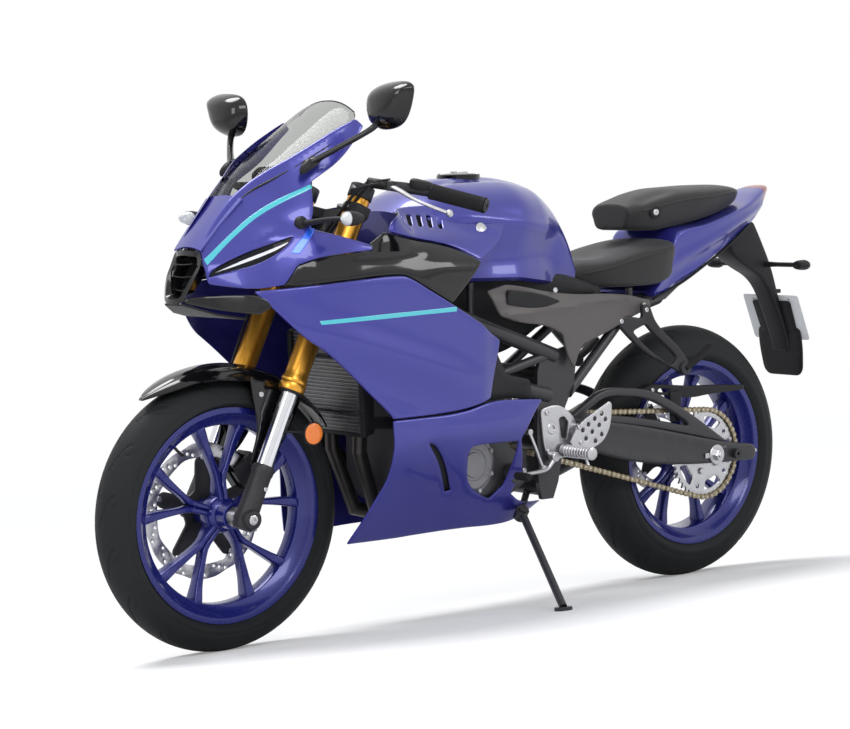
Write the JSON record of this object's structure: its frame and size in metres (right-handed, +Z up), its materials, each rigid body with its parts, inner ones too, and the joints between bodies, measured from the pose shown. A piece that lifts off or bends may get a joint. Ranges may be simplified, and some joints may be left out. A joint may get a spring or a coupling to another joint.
{
  "type": "sport motorcycle",
  "caption": "Faired sport motorcycle leaning on its side stand, with turning wheels, steered fork and folding side stand",
  "frame": {"origin": "bottom centre of the bounding box of the bike as it leans on its side stand", "axes": "+X forwards, +Y to the rider's left, +Z up; the bike leans 8 degrees towards +Y"},
  "size_m": [2.069, 0.7524, 1.2288],
  "materials": {
    "amber_lens": "amber reflector",
    "body_blue": "metallic blue-violet paint, clear coat",
    "cast_alloy_black": "black cast alloy",
    "chain_steel": "plated chain steel",
    "cover_alloy": "cast engine cover",
    "dark_grey_plastic": "dark grey textured plastic",
    "disc_steel": "ground stainless steel",
    "engine_alloy": "cast engine block",
    "exhaust_steel": "heat-toned steel",
    "fork_dark": "dark cast alloy with bright stanchions",
    "fork_gold": "gold anodised tube",
    "frame_paint": "satin dark frame paint",
    "gloss_black": "gloss black plastic",
    "lamp_lens": "clear lamp lens",
    "lever_alloy": "satin bare alloy",
    "plate_white": "blank plate",
    "radiator_alloy": "aluminium core",
    "red_lens": "red lens",
    "satin_black_plastic": "satin black plastic",
    "seat_vinyl": "black vinyl over foam",
    "silencer_black": "black silencer",
    "smoked_screen": "smoked clear polycarbonate",
    "tyre": "road tyre rubber",
    "wheel_blue": "blue painted cast alloy"
  },
  "bodies": {
    "chassis": {"chain_guard": "satin_black_plastic", "drive_chain": "chain_steel", "engine": "engine_alloy", "engine_covers": "cover_alloy", "exhaust_headers": "exhaust_steel", "foot_levers": "lever_alloy", "frame": "frame_paint", "front_indicators": "satin_black_plastic", "front_stay": "frame_paint", "fuel_cap": "cast_alloy_black", "fuel_tank": "body_blue", "headlamps": "lamp_lens", "instrument_panel": "satin_black_plastic", "lower_cowls": "body_blue", "mirrors": "satin_black_plastic", "nose_duct": "gloss_black", "number_plate": "plate_white", "pillion_footrests": "cast_alloy_black", "pillion_seat": "seat_vinyl", "radiator": "radiator_alloy", "rear_caliper": "cast_alloy_black", "rear_fender": "satin_black_plastic", "rear_indicators": "satin_black_plastic", "rear_spindles": "disc_steel", "rider_footrests": "lever_alloy", "rider_seat": "seat_vinyl", "seat_rails": "frame_paint", "side_covers": "dark_grey_plastic", "side_fairings": "body_blue", "side_infills": "gloss_black", "silencer": "silencer_black", "stand_bosses": "cast_alloy_black", "stand_bracket": "frame_paint", "swingarm": "frame_paint", "tail_cowl": "body_blue", "tail_lamp": "red_lens", "tank_shrouds": "body_blue", "upper_cowls": "body_blue", "windscreen": "smoked_screen"},
    "steering": {"fork_lowers": "fork_dark", "fork_tubes": "fork_gold", "yokes": "cast_alloy_black", "handlebars": "cast_alloy_black", "levers": "lever_alloy", "front_fender": "gloss_black", "front_caliper": "cast_alloy_black", "fork_reflectors": "amber_lens"},
    "front_wheel": {"front_tyre": "tyre", "front_wheel_rim": "wheel_blue", "front_brake_disc": "disc_steel"},
    "rear_wheel": {"rear_tyre": "tyre", "rear_wheel_rim": "wheel_blue", "rear_brake_disc": "disc_steel", "rear_sprocket": "disc_steel"},
    "side_stand": {"side_stand": "frame_paint"}
  },
  "joints": [
    {"name": "steering_head", "type": "hinge", "parent": "chassis", "child": "steering", "pos_m": [0.47389, -0.04758, 0.77013], "axis": [-0.4226, 0.1261, 0.8975], "range_deg": [-34, 34]},
    {"name": "front_wheel_axle", "type": "hinge", "parent": "steering", "child": "front_wheel", "pos_m": [0.74155, -0.11505, 0.29005], "axis": [0, 0.9903, -0.1392], "continuous": true},
    {"name": "rear_wheel_axle", "type": "hinge", "parent": "chassis", "child": "rear_wheel", "pos_m": [-0.63845, -0.11213, 0.31084], "axis": [0, 0.9903, -0.1392], "continuous": true},
    {"name": "side_stand_pivot", "type": "hinge", "parent": "chassis", "child": "side_stand", "pos_m": [0.01555, 0.02189, 0.21537], "axis": [0.1218, 0.7395, 0.662], "range_deg": [0, 101.7]}
  ]
}
